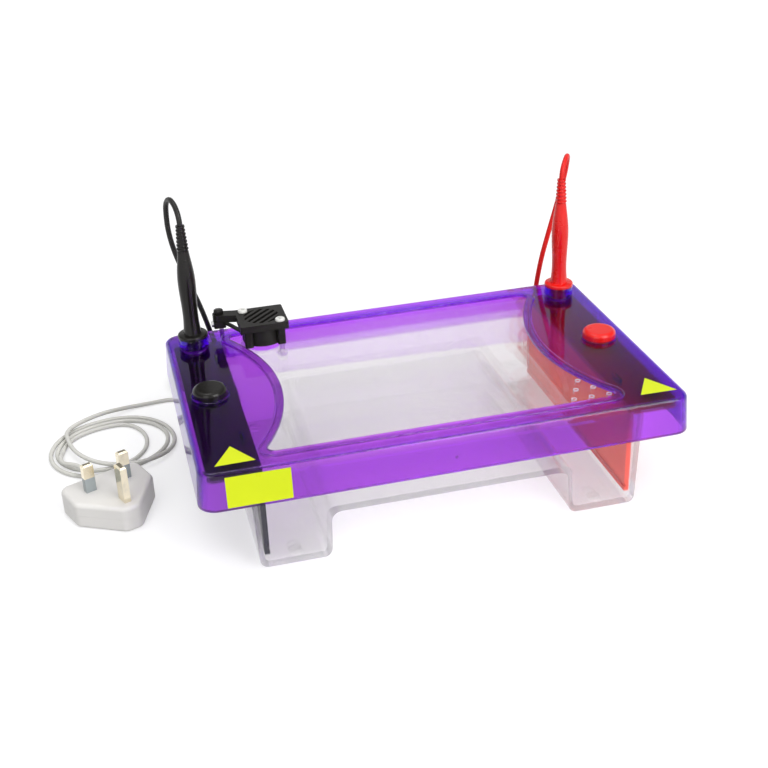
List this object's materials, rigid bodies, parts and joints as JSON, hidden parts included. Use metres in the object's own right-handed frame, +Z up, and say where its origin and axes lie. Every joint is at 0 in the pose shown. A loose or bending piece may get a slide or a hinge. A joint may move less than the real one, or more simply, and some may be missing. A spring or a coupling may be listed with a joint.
{
  "type": "horizontal electrophoresis tank",
  "caption": "Clear horizontal electrophoresis tank with a violet lid, black and red electrode cassettes, lead connectors, lid fan, leads and a mains cord.",
  "frame": {"origin": "on the bench, under the middle of the tank and lid, free cords left out", "axes": "+X along the tank from its black end to its red end, +Y to the side where the leads leave, +Z up"},
  "size_m": [0.3765, 0.2811, 0.1599],
  "materials": {
    "clear_tank": "clear moulded acrylic, glossy",
    "violet_lid": "see-through violet moulded plastic, glossy",
    "clear_pane": "clear acrylic sheet, glossy",
    "black_plastic": "black moulded plastic, satin to glossy",
    "red_plastic": "bright red moulded plastic, glossy",
    "red_sheet": "red acrylic sheet, glossy",
    "matt_black": "black engineering plastic, fine matt texture",
    "white_nylon": "white nylon, slightly worn",
    "white_plastic": "white moulded plastic, satin",
    "black_lead": "black silicone insulation, satin",
    "red_lead": "red silicone insulation, satin",
    "white_cord": "off-white PVC sheath, satin",
    "brass": "turned brass, gold plated on the contact faces",
    "steel": "turned steel",
    "platinum": "drawn platinum wire",
    "rubber": "black moulded rubber",
    "clear_bumper": "clear soft elastomer"
  },
  "bodies": {
    "tank": {"tank": "clear_tank", "tank_feet": "clear_bumper", "black_cassette": "black_plastic", "red_cassette": "red_sheet", "black_electrode_wire": "platinum", "red_electrode_wire": "platinum", "black_contact_pin": "brass", "red_contact_pin": "brass", "terminal_nuts": "brass", "mains_plug": "white_plastic", "plug_pins": "brass", "plug_pin_sleeves": "black_plastic", "plug_relief": "white_plastic", "black_lead_lower": "black_lead", "black_lead_coil": "black_lead", "black_far_plug": "black_plastic", "black_far_pin": "brass", "red_lead_lower": "red_lead", "red_lead_coil": "red_lead", "red_far_plug": "red_plastic", "red_far_pin": "brass", "fan_cord_lower": "white_cord", "fan_cord_loops": "white_cord"},
    "lid": {"lid_frame": "violet_lid", "lid_window": "clear_pane", "black_connector": "black_plastic", "red_connector": "red_plastic", "black_socket": "brass", "red_socket": "brass", "connector_rings": "white_nylon", "fan_housing": "matt_black", "fan_shaft": "steel", "fan_spacers": "white_nylon", "fan_cover": "matt_black", "fan_cable": "black_lead", "fan_screws": "white_nylon", "fan_nuts": "white_nylon", "cord_clamp": "matt_black", "clamp_knob": "black_plastic", "clamp_screw": "white_nylon", "black_lead_upper": "black_lead", "red_lead_upper": "red_lead", "fan_cord_upper": "white_cord"},
    "black_button": {"black_button": "black_plastic", "black_button_ring": "rubber"},
    "red_button": {"red_button": "red_plastic", "red_button_ring": "rubber"},
    "fan_rotor": {"fan_rotor": "matt_black"}
  },
  "joints": [
    {"name": "lid_lift", "type": "slide", "parent": "tank", "child": "lid", "axis": [0, 0, 1], "range_m": [0, 0.085]},
    {"name": "black_button_press", "type": "slide", "parent": "lid", "child": "black_button", "axis": [0, 0, -1], "range_m": [0, 0.0025]},
    {"name": "red_button_press", "type": "slide", "parent": "lid", "child": "red_button", "axis": [0, 0, -1], "range_m": [0, 0.0025]},
    {"name": "fan_spin", "type": "hinge", "parent": "lid", "child": "fan_rotor", "pos_m": [-0.078, 0.061, 0.0756], "axis": [0, 0, 1], "continuous": true}
  ]
}
